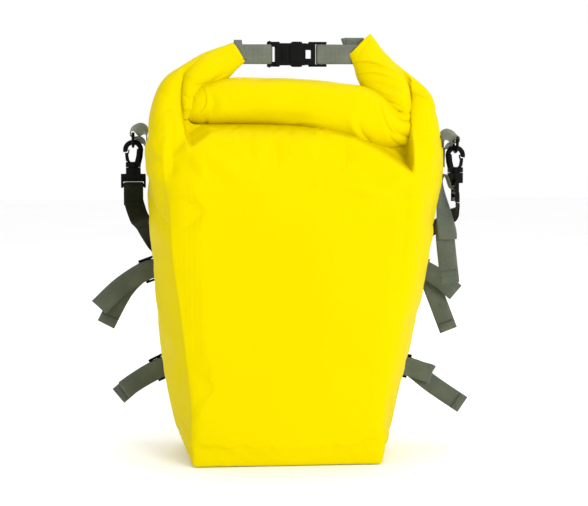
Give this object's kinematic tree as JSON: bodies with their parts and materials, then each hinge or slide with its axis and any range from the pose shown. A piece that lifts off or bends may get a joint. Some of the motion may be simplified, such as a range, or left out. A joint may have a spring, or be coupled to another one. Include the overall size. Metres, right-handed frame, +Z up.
{
  "type": "roll-top dry bag",
  "caption": "Tall tapered yellow dry bag with a rolled and buckled top, a clip-on shoulder strap hung from side loops, and lash straps on its back.",
  "frame": {"origin": "middle of the flat base's underside", "axes": "+Z up the bag, +Y towards its back, +X towards its right side as seen from the front"},
  "size_m": [0.5143, 0.2327, 0.5392],
  "materials": {
    "tarpaulin": "glossy coated weave",
    "webbing": "ribbed weave",
    "black_plastic": "moulded satin",
    "pin_steel": "satin",
    "stiffener_strip": "smooth"
  },
  "bodies": {
    "bag": {"front_panel": "tarpaulin", "back_panel": "tarpaulin", "left_gusset": "tarpaulin", "right_gusset": "tarpaulin", "base_panel": "tarpaulin", "rolled_collar": "tarpaulin", "collar_end_left": "tarpaulin", "collar_end_right": "tarpaulin", "closure_stiffener": "stiffener_strip", "closure_webbing": "webbing", "buckle_female": "black_plastic", "female_strap": "webbing", "male_strap": "webbing", "shoulder_strap": "webbing", "side_patch_left": "tarpaulin", "side_loop_left": "webbing", "side_patch_right": "tarpaulin", "side_loop_right": "webbing", "lash_patch_upper_left": "tarpaulin", "lash_tab_upper_left": "webbing", "lash_strap_upper_left": "webbing", "lash_patch_lower_left": "tarpaulin", "lash_tab_lower_left": "webbing", "lash_strap_lower_left": "webbing", "lash_patch_upper_right": "tarpaulin", "lash_tab_upper_right": "webbing", "lash_strap_upper_right": "webbing", "lash_patch_lower_right": "tarpaulin", "lash_tab_lower_right": "webbing", "lash_strap_lower_right": "webbing"},
    "buckle_insert": {"buckle_male": "black_plastic"},
    "upper_prong": {"prong_upper": "black_plastic"},
    "lower_prong": {"prong_lower": "black_plastic"},
    "d_ring_body_left": {"d_ring_left": "black_plastic"},
    "hook_body_left": {"hook_left": "black_plastic"},
    "gate_body_left": {"gate_left": "black_plastic"},
    "swivel_base_left": {"strap_eye": "black_plastic", "swivel_pin_left": "pin_steel", "strap_end_left": "webbing"},
    "d_ring_body_right": {"d_ring_right": "black_plastic"},
    "hook_body_right": {"hook_right": "black_plastic"},
    "gate_body_right": {"gate_right": "black_plastic"},
    "swivel_base_right": {"strap_adjuster": "black_plastic", "swivel_pin_right": "pin_steel", "strap_end_right": "webbing"},
    "lock_body_upper_left": {"ladder_lock_upper_left": "black_plastic"},
    "lock_body_lower_left": {"ladder_lock_lower_left": "black_plastic"},
    "lock_body_upper_right": {"ladder_lock_upper_right": "black_plastic"},
    "lock_body_lower_right": {"ladder_lock_lower_right": "black_plastic"}
  },
  "joints": [
    {"name": "buckle_release", "type": "slide", "parent": "bag", "child": "buckle_insert", "axis": [1, 0, 0], "range_m": [0, 0.03], "deforming": ["male_strap"]},
    {"name": "upper_prong_flex", "type": "hinge", "parent": "buckle_insert", "child": "upper_prong", "pos_m": [0.0305, -0.022, 0.5274], "axis": [0, -1, 0], "range_deg": [0, 6], "stiffness_Nm_per_rad": 0.2},
    {"name": "lower_prong_flex", "type": "hinge", "parent": "buckle_insert", "child": "lower_prong", "pos_m": [0.0305, -0.022, 0.5086], "axis": [0, 1, 0], "range_deg": [0, 6], "stiffness_Nm_per_rad": 0.2},
    {"name": "d_ring_left_swing", "type": "hinge", "parent": "bag", "child": "d_ring_body_left", "pos_m": [-0.1916, 0.005, 0.417], "axis": [0, 1, 0], "range_deg": [0, 25], "deforming": ["shoulder_strap"]},
    {"name": "hook_left_swing", "type": "hinge", "parent": "d_ring_body_left", "child": "hook_body_left", "pos_m": [-0.1916, 0.005, 0.4006], "axis": [0, 1, 0], "range_deg": [0, 20], "deforming": ["shoulder_strap"]},
    {"name": "hook_left_swivel", "type": "hinge", "parent": "hook_body_left", "child": "swivel_base_left", "pos_m": [-0.1916, 0.005, 0.367], "axis": [0, 0, 1], "range_deg": [-45, 45], "deforming": ["shoulder_strap"]},
    {"name": "gate_left_open", "type": "hinge", "parent": "hook_body_left", "child": "gate_body_left", "pos_m": [-0.1972, 0.005, 0.381], "axis": [0, 1, 0], "range_deg": [0, 18], "stiffness_Nm_per_rad": 0.05},
    {"name": "d_ring_right_swing", "type": "hinge", "parent": "bag", "child": "d_ring_body_right", "pos_m": [0.2276, 0.005, 0.409], "axis": [0, -1, 0], "range_deg": [0, 25], "deforming": ["shoulder_strap"]},
    {"name": "hook_right_swing", "type": "hinge", "parent": "d_ring_body_right", "child": "hook_body_right", "pos_m": [0.2276, 0.005, 0.3926], "axis": [0, -1, 0], "range_deg": [0, 20], "deforming": ["shoulder_strap"]},
    {"name": "hook_right_swivel", "type": "hinge", "parent": "hook_body_right", "child": "swivel_base_right", "pos_m": [0.2276, 0.005, 0.359], "axis": [0, 0, 1], "range_deg": [-45, 45], "deforming": ["shoulder_strap"]},
    {"name": "gate_right_open", "type": "hinge", "parent": "hook_body_right", "child": "gate_body_right", "pos_m": [0.2332, 0.005, 0.373], "axis": [0, -1, 0], "range_deg": [0, 18], "stiffness_Nm_per_rad": 0.05},
    {"name": "ladder_lock_upper_left_tilt", "type": "hinge", "parent": "bag", "child": "lock_body_upper_left", "pos_m": [-0.156, 0.1, 0.238], "axis": [0.342, 0, -0.9397], "range_deg": [0, 30], "deforming": ["lash_strap_upper_left"]},
    {"name": "ladder_lock_lower_left_tilt", "type": "hinge", "parent": "bag", "child": "lock_body_lower_left", "pos_m": [-0.143, 0.1, 0.106], "axis": [0.4384, 0, -0.8988], "range_deg": [0, 30], "deforming": ["lash_strap_lower_left"]},
    {"name": "ladder_lock_upper_right_tilt", "type": "hinge", "parent": "bag", "child": "lock_body_upper_right", "pos_m": [0.18, 0.1, 0.238], "axis": [0.3746, 0, 0.9272], "range_deg": [0, 30], "deforming": ["lash_strap_upper_right"]},
    {"name": "ladder_lock_lower_right_tilt", "type": "hinge", "parent": "bag", "child": "lock_body_lower_right", "pos_m": [0.157, 0.1, 0.102], "axis": [0.2419, 0, 0.9703], "range_deg": [0, 30], "deforming": ["lash_strap_lower_right"]}
  ]
}
